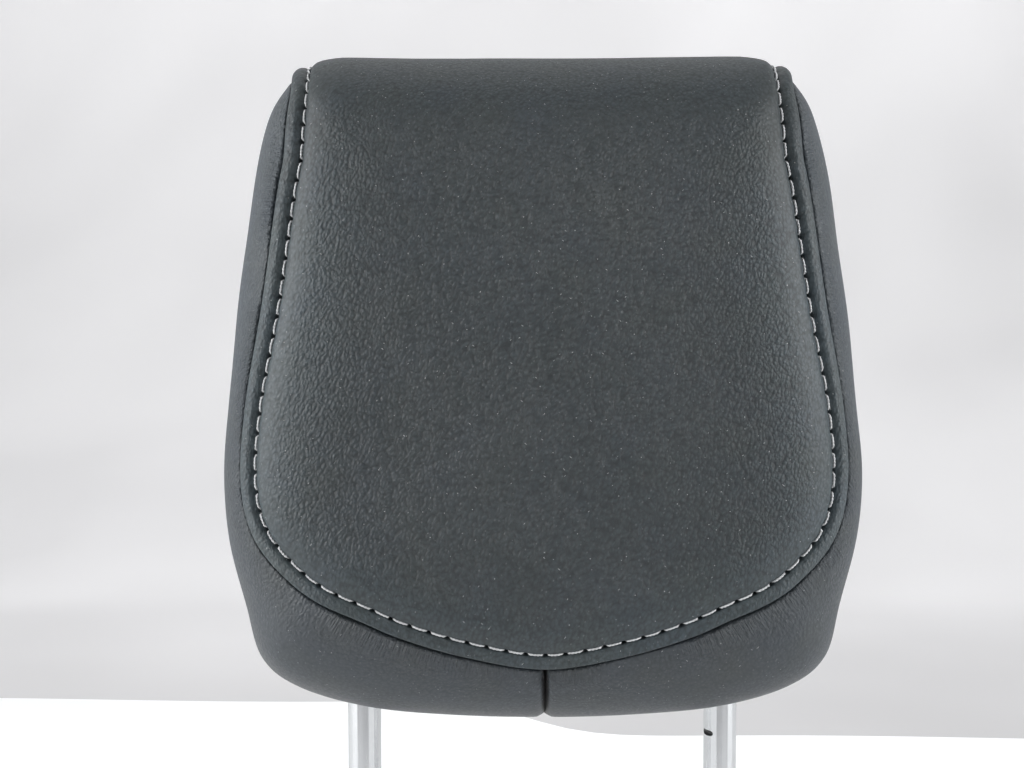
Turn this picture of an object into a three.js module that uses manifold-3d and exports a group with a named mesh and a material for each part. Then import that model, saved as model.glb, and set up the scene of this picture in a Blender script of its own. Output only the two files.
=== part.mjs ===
import * as THREE from 'three';
import { mergeVertices } from 'three/addons/utils/BufferGeometryUtils.js';
import Module from 'manifold-3d';

const wasm = await Module();
wasm.setup();

// A car headrest: a stitched leather cushion on a bent steel tube with two posts.
// Millimetres. The origin is midway between the posts where they enter the seat top,
// +X is to the right seen from the front, the front faces -Y and +Z is up.

// Cushion as a whole.
const undersideHeight = 20;
const cushionHeight = 247;
const cushionWidth = 238.8;
const frontDepth = 56;
const rearDepth = 38;
const splitPlaneY = -2;
const frontDepthLean = -6;
const frontDepthBow = -4;
const rearDepthLean = -8;
const rearDepthBow = -2;
const frontFullness = 6;
const rearFullness = 4;
const sectionFullness = 2.2;

// Cover of leather on thin foam.
const coverThickness = 3.3;
const seamGap = 0.2;
const seamDepth = 2.2;
const bandRise = 1.1;
const frontPillow = 1.0;
const centreSeamGap = 0.7;
const crossSeamDrop = 40;
const crossSeamDepth = 1.6;
const closureSlot = 6;
const closureTaper = 6;

// Topstitching beside the front seam.
const stitchInset = 8.5;
const stitchInsetUnder = 5.8;
const insetNarrowUntil = 0.75;
const insetWideFrom = 1.5;
const stitchValleyDepth = 1.2;
const stitchValleyWidth = 1.8;
const stitchPitch = 6.9;
const threadDiameter = 0.84;

// Steel tube frame with its two posts.
const postSpacing = 138;
const postDiameter = 12.7;
const postWall = 1.5;
const postBelowSeat = 150;
const crossbarHeight = 212;
const bendRadius = 36;
const endHoleDiameter = 3;
const endFlatDiameter = 9.2;
const endTaperLength = 3.5;
const notchCount = 4;
const notchTop = 10;
const notchPitch = 20;
const notchHeight = 2.3;
const notchDepth = 1;
const notchFacing = 63;

// Plastic carrier inside the foam, in two shells screwed together.
const carrierBesidePost = 6.65;
const carrierAboveBar = 20;
const carrierHeight = 166;
const carrierFrontDepth = 14;
const carrierRearDepth = 10;
const carrierCorner = 20;
const carrierWall = 2.5;
const pocketBesidePost = 6.65;
const pocketRim = 12;
const pocketBelowBar = 16;
const screwBesidePocket = 14;
const screwAboveBottom = 26;
const screwBelowBar = 30;
const screwDiameter = 3.5;
const screwHeadDiameter = 8;
const screwHeadHeight = 2.2;
const screwLength = 16;
const bossDiameter = 14;
const carrierWidth = postSpacing + postDiameter + 2 * carrierBesidePost;
const pocketWidth = postSpacing - postDiameter - 2 * pocketBesidePost;
const screwSpacing = pocketWidth - 2 * screwBesidePocket;
const carrierTop = crossbarHeight + carrierAboveBar;
const carrierBottom = carrierTop - carrierHeight;
const pocketTop = crossbarHeight - pocketBelowBar;
const pocketBottom = carrierBottom + pocketRim;
const screwHigh = crossbarHeight - screwBelowBar;
const screwLow = carrierBottom + screwAboveBottom;

// Post bezels at the underside.
const bezelFlangeDiameter = 21;
const bezelFlangeThickness = 1.6;
const bezelFlangeHeight = 25.6;
const bezelNeckDiameter = 16;
const bezelNeckLength = 16;

// Clearance between pieces that are fixed to each other.
const fitGap = 0.3;

// Half outline of the cushion seen from the front, from the top centre to the bottom
// centre, as shares of half the width and of the height.
const outlineShares = [
  [0, 1], [0.377, 0.999], [0.653, 0.996], [0.745, 0.983], [0.788, 0.961], [0.847, 0.913], [0.893, 0.823],
  [0.929, 0.709], [0.96, 0.587], [0.986, 0.474], [1, 0.368], [0.987, 0.271], [0.935, 0.174],
  [0.888, 0.091], [0.77, 0.046], [0.544, 0.017], [0.268, 0.003], [0, 0],
];

// The long seam on one side, from the bottom centre up the front, over the top and down
// the back: shares of half the width, of the depth on that side and of the height.
const seamShares = [
  [0, -0.939, 0.113], [0.228, -0.964, 0.131], [0.422, -0.982, 0.16], [0.549, -0.989, 0.187],
  [0.744, -0.907, 0.236], [0.862, -0.788, 0.298], [0.903, -0.716, 0.377], [0.884, -0.702, 0.491],
  [0.831, -0.718, 0.635], [0.786, -0.673, 0.791], [0.768, -0.638, 0.849], [0.761, -0.47, 0.925],
  [0.765, -0.263, 0.955], [0.78, 0, 0.968], [0.783, 0.29, 0.947], [0.804, 0.51, 0.883],
  [0.838, 0.63, 0.749], [0.888, 0.67, 0.526], [0.905, 0.684, 0.372], [0.863, 0.684, 0.223],
  [0.796, 0.658, 0.113], [0.712, 0.63, 0.057],
];
const seamCornerIndex = 4;
const seamTopIndex = 13;

// How many rows of facets run along the parts of the long seam.
const lowRows = 12;
const upRows = 28;
const wrapRows = 5;

const halfWidth = cushionWidth / 2;
const centreZ = undersideHeight + cushionHeight / 2;
const postX = postSpacing / 2;
const postRadius = postDiameter / 2;

// Small vector helpers on [x, y, z].
const add = (a, b) => [a[0] + b[0], a[1] + b[1], a[2] + b[2]];
const sub = (a, b) => [a[0] - b[0], a[1] - b[1], a[2] - b[2]];
const mul = (a, k) => [a[0] * k, a[1] * k, a[2] * k];
const dot = (a, b) => a[0] * b[0] + a[1] * b[1] + a[2] * b[2];
const cross = (a, b) => [
  a[1] * b[2] - a[2] * b[1],
  a[2] * b[0] - a[0] * b[2],
  a[0] * b[1] - a[1] * b[0],
];
const size = (a) => Math.hypot(a[0], a[1], a[2]);
const unit = (a) => mul(a, 1 / Math.max(size(a), 1e-12));
const mirrored = (p) => [-p[0], p[1], p[2]];

// Value of a piecewise straight profile given as [place, value] points.
function profileAt(points, place) {
  if (place <= points[0][0]) return points[0][1];
  for (let i = 1; i < points.length; i += 1) {
    const [x1, y1] = points[i];
    if (place <= x1) {
      const [x0, y0] = points[i - 1];
      return y0 + (y1 - y0) * (place - x0) / (x1 - x0);
    }
  }
  return points[points.length - 1][1];
}

// A smooth curve through control points, with a given number of steps in each span.
function smoothCurve(controls, before, after, steps) {
  const q = [before, ...controls, after];
  const out = [];
  for (let i = 0; i + 1 < controls.length; i += 1) {
    for (let k = 0; k < steps; k += 1) {
      const t = k / steps;
      out.push(controls[i].map((c, axis) => {
        const [a, b, c1, d] = [q[i][axis], q[i + 1][axis], q[i + 2][axis], q[i + 3][axis]];
        const v0 = (c1 - a) / 2;
        const v1 = (d - b) / 2;
        return (2 * b - 2 * c1 + v0 + v1) * t ** 3 + (3 * c1 - 3 * b - 2 * v0 - v1) * t * t + v0 * t + b;
      }));
    }
  }
  out.push(controls[controls.length - 1].slice());
  return out;
}

// Outline radius about the middle of the cushion, looked up by the angle from straight up.
const outlineControls = outlineShares.map(([u, v]) => [u * halfWidth, undersideHeight + v * cushionHeight]);
const outlineCurve = smoothCurve(
  outlineControls,
  [-outlineControls[1][0], outlineControls[1][1]],
  [-outlineControls[outlineControls.length - 2][0], outlineControls[outlineControls.length - 2][1]],
  40,
);
const outlineAngles = outlineCurve.map(([x, z]) => Math.atan2(x, z - centreZ));
const outlineRadii = outlineCurve.map(([x, z]) => Math.hypot(x, z - centreZ));

function outlineRadius(angle) {
  const a = Math.abs(angle);
  let low = 0;
  let high = outlineAngles.length - 1;
  while (high - low > 1) {
    const middle = (low + high) >> 1;
    if (outlineAngles[middle] <= a) low = middle;
    else high = middle;
  }
  const t = Math.min(1, Math.max(0, (a - outlineAngles[low]) / (outlineAngles[high] - outlineAngles[low])));
  return outlineRadii[low] + t * (outlineRadii[high] - outlineRadii[low]);
}

function depthAt(z, front) {
  const s = (z - centreZ) / (cushionHeight / 2);
  if (front) return frontDepth + frontDepthLean * s + frontDepthBow * s * s;
  return rearDepth + rearDepthLean * s + rearDepthBow * s * s;
}

// Zero on the base skin of the cushion, negative inside.
function skinValue(p) {
  const front = p[1] < splitPlaneY;
  const angle = Math.atan2(p[0], p[2] - centreZ);
  const rho = Math.hypot(p[0], p[2] - centreZ) / outlineRadius(angle);
  const w = Math.abs(p[1] - splitPlaneY) / depthAt(p[2], front);
  return rho ** (front ? frontFullness : rearFullness) + w ** sectionFullness - 1;
}

function skinNormal(p) {
  const e = 0.3;
  const g = [0, 1, 2].map((axis) => {
    const up = p.slice();
    const down = p.slice();
    up[axis] += e;
    down[axis] -= e;
    return skinValue(up) - skinValue(down);
  });
  return unit(g);
}

// The two angles of a point: around the outline, and from the front pole to the rear pole.
function skinAngles(p) {
  const front = p[1] < splitPlaneY;
  const fullness = front ? frontFullness : rearFullness;
  const around = Math.atan2(p[0], p[2] - centreZ);
  const rho = Math.hypot(p[0], p[2] - centreZ) / outlineRadius(around);
  const w = Math.abs(p[1] - splitPlaneY) / depthAt(p[2], front);
  const over = Math.atan2(rho ** (fullness / 2), w ** (sectionFullness / 2));
  return [around, front ? over : Math.PI - over];
}

function skinPoint(around, over) {
  const front = over < Math.PI / 2;
  const fullness = front ? frontFullness : rearFullness;
  const rho = Math.abs(Math.sin(over)) ** (2 / fullness);
  const radius = rho * outlineRadius(around);
  const z = centreZ + radius * Math.cos(around);
  const y = depthAt(z, front) * Math.abs(Math.cos(over)) ** (2 / sectionFullness);
  return [radius * Math.sin(around), splitPlaneY + (front ? -y : y), z];
}

const toSkin = (p) => skinPoint(...skinAngles(p));

// Walks over the skin from a point in a given direction for a given distance.
function walk(start, direction, distance) {
  const steps = Math.max(1, Math.ceil(distance));
  let p = start;
  let d = direction;
  for (let i = 0; i < steps; i += 1) {
    p = toSkin(add(p, mul(d, distance / steps)));
    const n = skinNormal(p);
    d = unit(sub(d, mul(n, dot(d, n))));
  }
  return [p, d];
}

// The long seam on the right side as a curve on the skin, by distance from the bottom centre.
const seamSteps = 30;
const seamControls = seamShares.map(([u, v, w]) => [
  u * halfWidth,
  splitPlaneY + v * (v < 0 ? frontDepth : rearDepth),
  undersideHeight + w * cushionHeight,
]);
const seamEnd = seamControls.length - 1;
const seamCurve = smoothCurve(
  seamControls,
  mirrored(seamControls[1]),
  sub(mul(seamControls[seamEnd], 2), seamControls[seamEnd - 1]),
  seamSteps,
).map(toSkin);
const seamLengths = [0];
for (let i = 1; i < seamCurve.length; i += 1) {
  seamLengths.push(seamLengths[i - 1] + size(sub(seamCurve[i], seamCurve[i - 1])));
}
const seamCorner = seamLengths[seamCornerIndex * seamSteps];
const seamTop = seamLengths[seamTopIndex * seamSteps];
const seamTotal = seamLengths[seamLengths.length - 1];
const seamCross = seamTop + crossSeamDrop;

function seamAt(length) {
  let i = 1;
  while (i < seamLengths.length - 1 && seamLengths[i] < length) i += 1;
  const t = (length - seamLengths[i - 1]) / (seamLengths[i] - seamLengths[i - 1]);
  return toSkin(add(seamCurve[i - 1], mul(sub(seamCurve[i], seamCurve[i - 1]), t)));
}

// Direction on the skin from the seam towards the front or back panel.
function seamInward(length) {
  const ahead = seamAt(Math.min(seamTotal, length + 1));
  const behind = length < 1 ? mirrored(seamAt(1 - length)) : seamAt(length - 1);
  const tangent = length === 0 ? [1, 0, 0] : unit(sub(ahead, behind));
  return unit(cross(skinNormal(seamAt(length)), tangent));
}

// Straight distance from a point to the long seam, and where along it the nearest point is.
const seamCoarse = seamCurve.filter((_, i) => i % 6 === 0);
const seamCoarseLengths = seamLengths.filter((_, i) => i % 6 === 0);
function seamNearest(p) {
  let best = Infinity;
  let place = 0;
  for (let i = 1; i < seamCoarse.length; i += 1) {
    const a = seamCoarse[i - 1];
    const ab = sub(seamCoarse[i], a);
    const t = Math.min(1, Math.max(0, dot(sub(p, a), ab) / dot(ab, ab)));
    const distance = size(sub(p, add(a, mul(ab, t))));
    if (distance < best) {
      best = distance;
      place = seamCoarseLengths[i - 1] + t * (seamCoarseLengths[i] - seamCoarseLengths[i - 1]);
    }
  }
  return [best, place];
}
const seamDistance = (p) => seamNearest(p)[0];

// The band beside the seam is narrower under the chin: its width as a share of the full one.
function bandShare(length) {
  const t = (length / seamCorner - insetNarrowUntil) / (insetWideFrom - insetNarrowUntil);
  const along = Math.min(1, Math.max(0, t));
  const eased = along * along * (3 - 2 * along);
  return (stitchInsetUnder + (stitchInset - stitchInsetUnder) * eased) / stitchInset;
}
function bandDistance(p) {
  const [distance, place] = seamNearest(p);
  return distance / bandShare(place);
}

// The closure line across the underside, at the level where the long seam ends.
const closureEnd = seamCurve[seamCurve.length - 1];
function closureAt(x) {
  let low = centreZ;
  let high = undersideHeight - 10;
  for (let i = 0; i < 40; i += 1) {
    const middle = (low + high) / 2;
    if (skinValue([x, closureEnd[1], middle]) < 0) low = middle;
    else high = middle;
  }
  return [x, closureEnd[1], (low + high) / 2];
}

function closureAcross(x) {
  const tangent = unit(sub(closureAt(x + 1), closureAt(x - 1)));
  return unit(cross(tangent, skinNormal(closureAt(x))));
}

// Half the width of the closure slot, narrowing to a seam at its ends.
function slotHalf(x) {
  const toEnd = (closureEnd[0] - x) / closureTaper;
  return seamGap + (closureSlot / 2 - seamGap) * Math.min(1, Math.max(0, toEnd));
}

// A row of points on the skin from the long seam to the middle line.
const lift = 14;
function rowAcross(length, rings, shares) {
  const row = [];
  let p = seamAt(length);
  let d = seamInward(length);
  let walked = 0;
  for (const ring of rings) {
    if (ring > walked) [p, d] = walk(p, d, ring - walked);
    walked = ring;
    row.push(length === 0 ? [0, p[1], p[2]] : p);
  }
  const raise = lift * Math.sin(Math.PI * Math.min(1, length / (1.7 * seamCorner)));
  for (const share of shares) {
    row.push(toSkin([p[0] * (1 - share), p[1], p[2] + raise * share * (2 - share)]));
  }
  return row;
}

// A row of points on the skin of a side panel from its front edge to its rear edge.
function rowAround(from, to, rings, middles) {
  const a = skinAngles(from);
  const b = skinAngles(to);
  const samples = 32;
  const places = [0];
  const at = (t) => skinPoint(a[0] + (b[0] - a[0]) * t, a[1] + (b[1] - a[1]) * t);
  let last = at(0);
  for (let i = 1; i <= samples; i += 1) {
    const next = at(i / samples);
    places.push(places[i - 1] + size(sub(next, last)));
    last = next;
  }
  const total = places[samples];
  const shrink = Math.min(1, total / 34);
  const edge = rings.map((ring) => ring * shrink);
  const lastRing = edge[edge.length - 1];
  const wanted = [0, ...edge];
  for (let i = 1; i <= middles; i += 1) {
    wanted.push(lastRing + (total - 2 * lastRing) * i / (middles + 1));
  }
  wanted.push(...edge.slice().reverse().map((ring) => total - ring), total);
  return wanted.map((want) => {
    let i = 1;
    while (i < samples && places[i] < want) i += 1;
    const step = Math.max(places[i] - places[i - 1], 1e-9);
    return at((i - 1 + Math.min(1, (want - places[i - 1]) / step)) / samples);
  });
}

// Places along the long seam where the rows of facets start.
const span = (from, to, count) => Array.from({ length: count + 1 }, (_, i) => from + (to - from) * i / count);
const lowPlaces = span(0, seamCorner, lowRows);
const upPlaces = span(seamCorner, seamTop, upRows);
const wrapPlaces = span(seamTop, seamCross, wrapRows);
const rearPlaces = span(seamCross, seamTotal, upRows - wrapRows);
const closurePlaces = span(0, closureEnd[0], lowRows);
const edgeRows = [1.2, 3.6];

// Height of the finished leather over the base skin.
const valleyStart = stitchInset - stitchValleyWidth / 2;
const valleyEnd = stitchInset + stitchValleyWidth / 2;
const pillowRise = 4.6;
const pillowFlat = 13;
const pillowFall = 27;
const pillowEnd = 50;
const frontProfile = [
  [0, -seamDepth], [0.1 * stitchInset, -0.4 * seamDepth], [0.24 * stitchInset, 0.3 * bandRise],
  [0.5 * stitchInset, bandRise], [0.73 * stitchInset, 0.5 * bandRise], [valleyStart, -stitchValleyDepth],
  [valleyEnd, -stitchValleyDepth], [valleyEnd + 1.4, -0.1 * stitchValleyDepth],
  [valleyEnd + pillowRise, 0.7 * frontPillow], [valleyEnd + pillowFlat, frontPillow],
  [valleyEnd + pillowFall, 0.5 * frontPillow], [valleyEnd + pillowEnd, 0],
];
const sideProfile = [[0, -seamDepth], [0.9, -0.55 * seamDepth], [3, -0.3], [8, 0.2], [16, 0]];
const crossProfile = [[0, -crossSeamDepth], [1.2, -0.4 * crossSeamDepth], [3.6, 0]];
const centreProfile = [[0, -seamDepth], [0.5, -0.7 * seamDepth], [1.4, -0.3 * seamDepth], [3.4, 0]];

const raised = (p, height) => add(p, mul(skinNormal(p), height));
const innerSkin = (rows) => rows.map((row) => row.map((p) => raised(p, -coverThickness)));

// Collects triangles between rows of points.
function gridFaces(rows, flip, faces) {
  for (let k = 0; k + 1 < rows.length; k += 1) {
    for (let j = 0; j + 1 < rows[k].length; j += 1) {
      const [a, b, c, d] = [rows[k][j], rows[k + 1][j], rows[k + 1][j + 1], rows[k][j + 1]];
      const shortFirst = size(sub(a, c)) <= size(sub(b, d));
      const pair = shortFirst ? [[a, b, c], [a, c, d]] : [[a, b, d], [b, c, d]];
      for (const face of pair) faces.push(flip ? [face[0], face[2], face[1]] : face);
    }
  }
}

// Joins two edges, which may have different numbers of points, with a strip of triangles.
function bridgeFaces(first, second, faces) {
  let i = 0;
  let j = 0;
  while (i < first.length - 1 || j < second.length - 1) {
    const canFirst = i < first.length - 1;
    const canSecond = j < second.length - 1;
    const viaFirst = canFirst ? size(sub(first[i + 1], second[j])) : Infinity;
    const viaSecond = canSecond ? size(sub(first[i], second[j + 1])) : Infinity;
    if (viaFirst <= viaSecond) {
      faces.push([first[i + 1], first[i], second[j]]);
      i += 1;
    } else {
      faces.push([first[i], second[j], second[j + 1]]);
      j += 1;
    }
  }
}

// A closed slab from an outer and an inner grid with walls along the named edges.
function slabFaces(outer, inner, walls, flip) {
  const faces = [];
  gridFaces(outer, flip, faces);
  gridFaces(inner, !flip, faces);
  const edges = {
    seam: (rows) => rows.map((row) => row[0]),
    rear: (rows) => rows.map((row) => row[row.length - 1]).reverse(),
    last: (rows) => rows[rows.length - 1].slice(),
    start: (rows) => rows[0].slice().reverse(),
  };
  for (const wall of walls) {
    const a = edges[wall](outer);
    const b = edges[wall](inner);
    if (flip) {
      a.reverse();
      b.reverse();
    }
    bridgeFaces(a, b, faces);
  }
  return faces;
}

const mirrorFaces = (faces) => faces.map(([a, b, c]) => [mirrored(a), mirrored(c), mirrored(b)]);

// Turns triangles into an indexed geometry, dropping those without area.
function facesGeometry(faces) {
  const index = new Map();
  const positions = [];
  const triangles = [];
  const vertex = (p) => {
    const key = p.map((v) => Math.round(v * 2000) + 0).join(' ');
    if (!index.has(key)) {
      index.set(key, positions.length / 3);
      positions.push(...p);
    }
    return index.get(key);
  };
  for (const face of faces) {
    const [a, b, c] = face.map(vertex);
    if (a !== b && b !== c && a !== c) triangles.push(a, b, c);
  }
  const geometry = new THREE.BufferGeometry();
  geometry.setAttribute('position', new THREE.BufferAttribute(new Float32Array(positions), 3));
  geometry.setIndex(triangles);
  return geometry;
}

// Solids for joining and cutting.
function solid(geometry) {
  const plain = geometry.clone();
  plain.deleteAttribute('normal');
  plain.deleteAttribute('uv');
  const merged = mergeVertices(plain, 1e-4);
  return new wasm.Manifold(new wasm.Mesh({
    numProp: 3,
    vertProperties: new Float32Array(merged.attributes.position.array),
    triVerts: new Uint32Array(merged.index.array),
  }));
}

function solidGeometry(body) {
  const mesh = body.getMesh();
  const geometry = new THREE.BufferGeometry();
  geometry.setAttribute('position', new THREE.BufferAttribute(new Float32Array(mesh.vertProperties), 3));
  geometry.setIndex(new THREE.BufferAttribute(new Uint32Array(mesh.triVerts), 1));
  geometry.computeVertexNormals();
  return geometry;
}

const group = new THREE.Group();
group.name = 'car_headrest';
function place(name, body, colour, roughness, metalness) {
  const material = new THREE.MeshStandardMaterial({ color: colour, roughness, metalness });
  material.name = `${name}_material`;
  const mesh = new THREE.Mesh(solidGeometry(body), material);
  mesh.name = name;
  group.add(mesh);
}

// A round bar standing along Z, and the same bar lying along Y.
function upright(radius, bottom, top, sides = 24) {
  const bar = new THREE.CylinderGeometry(radius, radius, top - bottom, sides);
  bar.rotateX(Math.PI / 2);
  bar.translate(0, 0, (top + bottom) / 2);
  return solid(bar);
}

function lying(radius, from, to, x, z, sides = 20) {
  const bar = new THREE.CylinderGeometry(radius, radius, to - from, sides);
  bar.translate(x, (from + to) / 2, z);
  return solid(bar);
}

// Front panel: one piece of leather with its folded edge band, from the seam under the
// chin, over the top, to a cross seam on the back.
const frontRings = [
  seamGap, 0.1 * stitchInset, 0.24 * stitchInset, 0.5 * stitchInset, 0.73 * stitchInset,
  valleyStart, valleyEnd, valleyEnd + 1.4, valleyEnd + 4.6,
];
const frontShares = [0.13, 0.32, 0.54, 0.77, 1];
const innerRings = [seamGap, valleyEnd + 4.6];
const innerShares = [0.36, 0.7, 1];
const frontPlaces = [
  ...lowPlaces, ...upPlaces.slice(1), ...wrapPlaces.slice(1, -1),
  seamCross - edgeRows[1], seamCross - edgeRows[0], seamCross - seamGap,
];
const frontHeight = (p, length) => Math.max(
  -seamDepth,
  profileAt(frontProfile, bandDistance(p)) + profileAt(crossProfile, Math.abs(length - seamCross)),
);
const bandRings = (length) => [seamGap, ...frontRings.slice(1).map((ring) => ring * bandShare(length))];
const frontOuter = frontPlaces.map((length) => rowAcross(length, bandRings(length), frontShares)
  .map((p) => raised(p, frontHeight([Math.abs(p[0]), p[1], p[2]], length))));
const frontInner = innerSkin(frontPlaces.map((length) => rowAcross(length, innerRings, innerShares)));
const frontHalf = slabFaces(frontOuter, frontInner, ['seam', 'last'], false);
const frontPanel = solid(facesGeometry([...frontHalf, ...mirrorFaces(frontHalf)]));
place('front_panel', frontPanel, 0x464d52, 0.62, 0);

// Side panels: each runs from the short seam under the chin, round the side, to a point
// at the top, with a hole and a seat for the post bezel in the underside.
const sideEdge = (length) => walk(seamAt(length), mul(seamInward(length), -1), seamGap)[0];
const closureEdge = (x, side) => walk(closureAt(x), mul(closureAcross(x), side), slotHalf(x))[0];
const centreStart = [0, 0.5, 1.4, 3.4].map((step) => centreSeamGap / 2 + step);
const sideFrontEdge = [
  ...centreStart.map(sideEdge), ...lowPlaces.slice(1).map(sideEdge), ...upPlaces.slice(1).map(sideEdge),
];
const sideRearEdge = [
  ...centreStart.map((x) => closureEdge(x, -1)),
  ...closurePlaces.slice(1, -1).map((x) => closureEdge(x, -1)),
  ...[...wrapPlaces, ...rearPlaces.slice(1)].reverse().map(sideEdge),
];
const sideHeight = (p) => Math.max(
  -seamDepth,
  profileAt(sideProfile, seamDistance(p)) + profileAt(centreProfile, p[0] - centreSeamGap / 2),
);
const sideOuter = sideFrontEdge.map((from, k) => rowAround(from, sideRearEdge[k], [0.7, 2.8, 7.8], 5)
  .map((p) => raised(p, sideHeight(p))));
const sideInnerRow = (from, to, k) => {
  const row = rowAround(from, to, [7.8], 5);
  return [sideFrontEdge[k], ...row.slice(1, -1), sideRearEdge[k]];
};
const sideSeamPlaces = [...centreStart, ...lowPlaces.slice(1), ...upPlaces.slice(1)];
const sideRearLine = [
  ...centreStart.map(closureAt),
  ...closurePlaces.slice(1, -1).map(closureAt),
  ...[...wrapPlaces, ...rearPlaces.slice(1)].reverse().map(seamAt),
];
const sideInner = innerSkin(sideSeamPlaces.map((length, k) => (
  k === sideSeamPlaces.length - 1
    ? Array(9).fill(sideFrontEdge[k])
    : sideInnerRow(seamAt(length), sideRearLine[k], k)
)));
const sideFaces = slabFaces(sideOuter, sideInner, ['seam', 'rear', 'start'], true);
const postHole = upright(bezelNeckDiameter / 2 + fitGap, undersideHeight - 20, carrierBottom + carrierCorner / 2)
  .translate([postX, 0, 0]);
const bezelSeat = upright(bezelFlangeDiameter / 2 + fitGap, undersideHeight - 20, bezelFlangeHeight + fitGap)
  .translate([postX, 0, 0]);
const sideBlank = solid(facesGeometry(sideFaces));
const rightSide = sideBlank.subtract(postHole).subtract(bezelSeat);
place('right_side_panel', rightSide, 0x55585d, 0.62, 0);
place('left_side_panel', rightSide.mirror([1, 0, 0]), 0x55585d, 0.62, 0);

// Back panel: from the cross seam down to the closure on the underside.
const backShares = frontShares;
const backRings = [seamGap, 0.9, 3, valleyEnd + 4.6];
const backInnerRings = [seamGap, valleyEnd + 4.6];
const backPlaces = [
  seamCross + seamGap, seamCross + edgeRows[0], seamCross + edgeRows[1], ...rearPlaces.slice(1, -1),
];
const backHeight = (p, length) => Math.max(
  -seamDepth,
  profileAt(sideProfile, seamDistance(p)) + profileAt(crossProfile, Math.abs(length - seamCross)),
);
function closureRow(rings, shares) {
  const before = rowAcross(rearPlaces[rearPlaces.length - 2], rings, shares);
  const scale = (closureEnd[0] - seamGap) / before[0][0];
  return before.map((p) => closureEdge(p[0] * scale, 1));
}
const backOuter = backPlaces.map((length) => rowAcross(length, backRings, backShares)
  .map((p) => raised(p, backHeight([Math.abs(p[0]), p[1], p[2]], length))));
backOuter.push(closureRow(backRings, backShares).map((p) => raised(p, -0.4)));
const backInner = innerSkin([
  ...backPlaces.map((length) => rowAcross(length, backInnerRings, innerShares)),
  closureRow(backInnerRings, innerShares),
]);
const backHalf = slabFaces(backOuter, backInner, ['seam', 'last', 'start'], false);
place('back_panel', solid(facesGeometry([...backHalf, ...mirrorFaces(backHalf)])), 0x55585d, 0.62, 0);

// Topstitch: one thread along the valley beside the front seam, raised over each stitch
// and low at each needle hole.
const threadRadius = threadDiameter / 2;
const threadPlaces = frontPlaces.slice(0, -1);
const threadRow = threadPlaces.map((length) => {
  const p = rowAcross(length, [stitchInset * bandShare(length)], [])[0];
  return { centre: p, up: skinNormal(p), across: seamInward(length) };
});
const threadLengths = [0];
for (let i = 1; i < threadRow.length; i += 1) {
  threadLengths.push(threadLengths[i - 1] + size(sub(threadRow[i].centre, threadRow[i - 1].centre)));
}
function threadAt(length) {
  let i = 1;
  while (i < threadLengths.length - 1 && threadLengths[i] < length) i += 1;
  const t = (length - threadLengths[i - 1]) / (threadLengths[i] - threadLengths[i - 1]);
  const blend = (key) => add(mul(threadRow[i - 1][key], 1 - t), mul(threadRow[i][key], t));
  return { centre: blend('centre'), up: unit(blend('up')), across: unit(blend('across')) };
}
const stitchCount = Math.floor(threadLengths[threadLengths.length - 1] / stitchPitch);
const threadSides = 5;
const lowHeight = -stitchValleyDepth + fitGap + 0.75 * threadRadius;
const highHeight = lowHeight + 0.45;
function threadRing(length, height, radius) {
  const { centre, up, across } = threadAt(Math.abs(length));
  const ring = [];
  for (let k = 0; k < threadSides; k += 1) {
    const angle = Math.PI / 2 + 2 * Math.PI * k / threadSides;
    const aside = mul(across, radius * Math.cos(angle));
    const p = add(add(centre, aside), mul(up, height + radius * Math.sin(angle)));
    ring.push(length < 0 ? mirrored(p) : p);
  }
  return ring;
}
const threadRings = [];
for (let k = -stitchCount; k < stitchCount; k += 1) {
  const start = k * stitchPitch;
  threadRings.push(threadRing(start + 0.02 * stitchPitch, lowHeight, 0.75 * threadRadius));
  threadRings.push(threadRing(start + 0.22 * stitchPitch, highHeight, threadRadius));
  threadRings.push(threadRing(start + 0.8 * stitchPitch, highHeight, threadRadius));
}
threadRings.push(threadRing(stitchCount * stitchPitch - 0.02, lowHeight, 0.75 * threadRadius));
const threadFaces = [];
gridFaces(threadRings.map((ring) => [...ring, ring[0]]), false, threadFaces);
for (const [ring, turned] of [[threadRings[0], false], [threadRings[threadRings.length - 1], true]]) {
  for (let k = 1; k + 1 < threadSides; k += 1) {
    threadFaces.push(turned ? [ring[0], ring[k + 1], ring[k]] : [ring[0], ring[k], ring[k + 1]]);
  }
}
const threadVolume = threadFaces.reduce((sum, [a, b, c]) => sum + dot(a, cross(b, c)), 0);
const threadOut = threadVolume < 0 ? threadFaces.map(([a, b, c]) => [a, c, b]) : threadFaces;
place('topstitch_thread', solid(facesGeometry(threadOut)), 0xc9cbcc, 0.7, 0);

// Centre line of the steel tube, from the left post end to the right post end.
const bendSteps = 6;
const tubePath = [];
for (let i = 0; i <= bendSteps; i += 1) {
  const angle = Math.PI - (Math.PI / 2) * i / bendSteps;
  tubePath.push({
    x: -postX + bendRadius + bendRadius * Math.cos(angle),
    z: crossbarHeight - bendRadius + bendRadius * Math.sin(angle),
    angle,
  });
}
for (let i = bendSteps; i >= 0; i -= 1) {
  const { x, z, angle } = tubePath[i];
  tubePath.push({ x: -x, z, angle: Math.PI - angle });
}

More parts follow.
